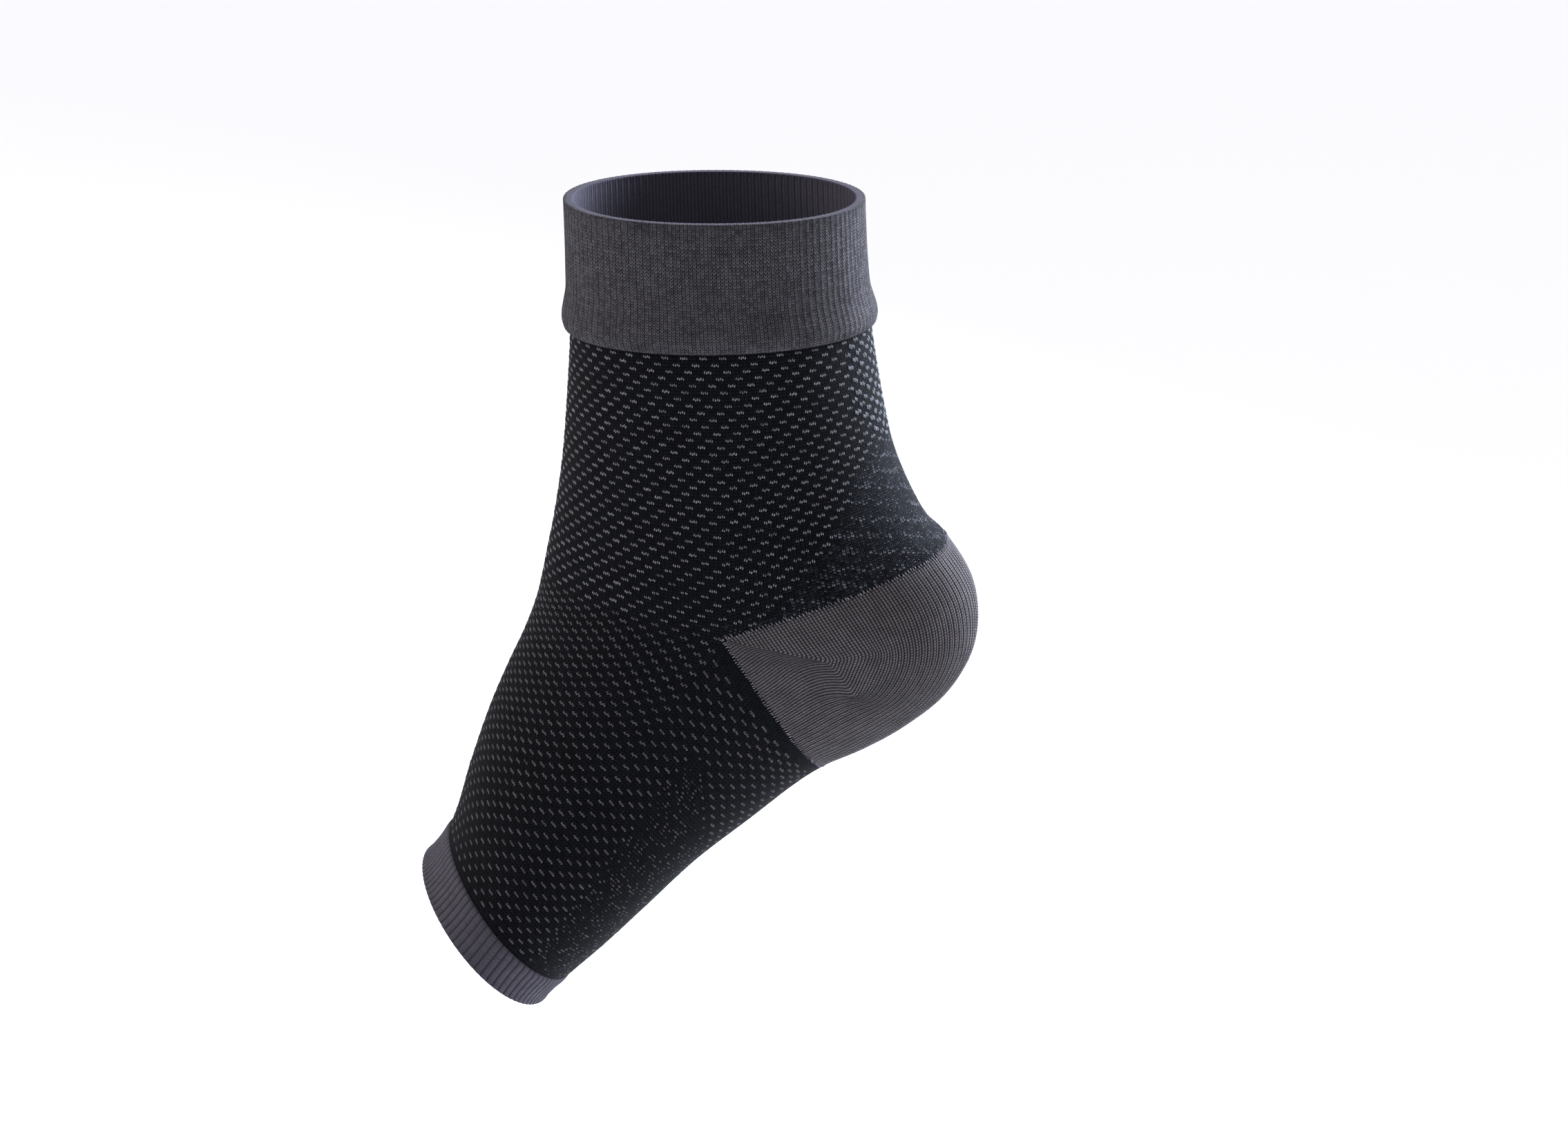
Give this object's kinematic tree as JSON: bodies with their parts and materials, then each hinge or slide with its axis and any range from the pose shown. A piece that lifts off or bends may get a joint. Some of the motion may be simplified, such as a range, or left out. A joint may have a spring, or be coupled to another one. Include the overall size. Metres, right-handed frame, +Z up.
{
  "type": "arch support sleeve",
  "caption": "Open-toed knitted compression sleeve for the ankle and arch, with a folded ribbed cuff, a patterned leg and foot, a turned heel pocket and a ribbed toe band.",
  "frame": {"origin": "on the plane of symmetry, midway between the two gore points where the heel pocket's upper and lower seams meet, beside the ankle bones", "axes": "+Z up the leg, +X towards the back of the heel, +Y towards the inner side of the foot; the toes point to -X and down"},
  "size_m": [0.1553, 0.0758, 0.2279],
  "materials": {
    "cuff_rib": "grey one-by-one rib knit",
    "body_knit": "near-black knit with pale grey float stitches",
    "heel_knit": "grey plain knit, stretched open between its wales",
    "band_rib": "grey rib knit"
  },
  "bodies": {
    "root": {"ankle_cuff": "cuff_rib", "sleeve_body": "body_knit", "heel_pocket": "heel_knit", "toe_band": "band_rib"}
  },
  "joints": []
}
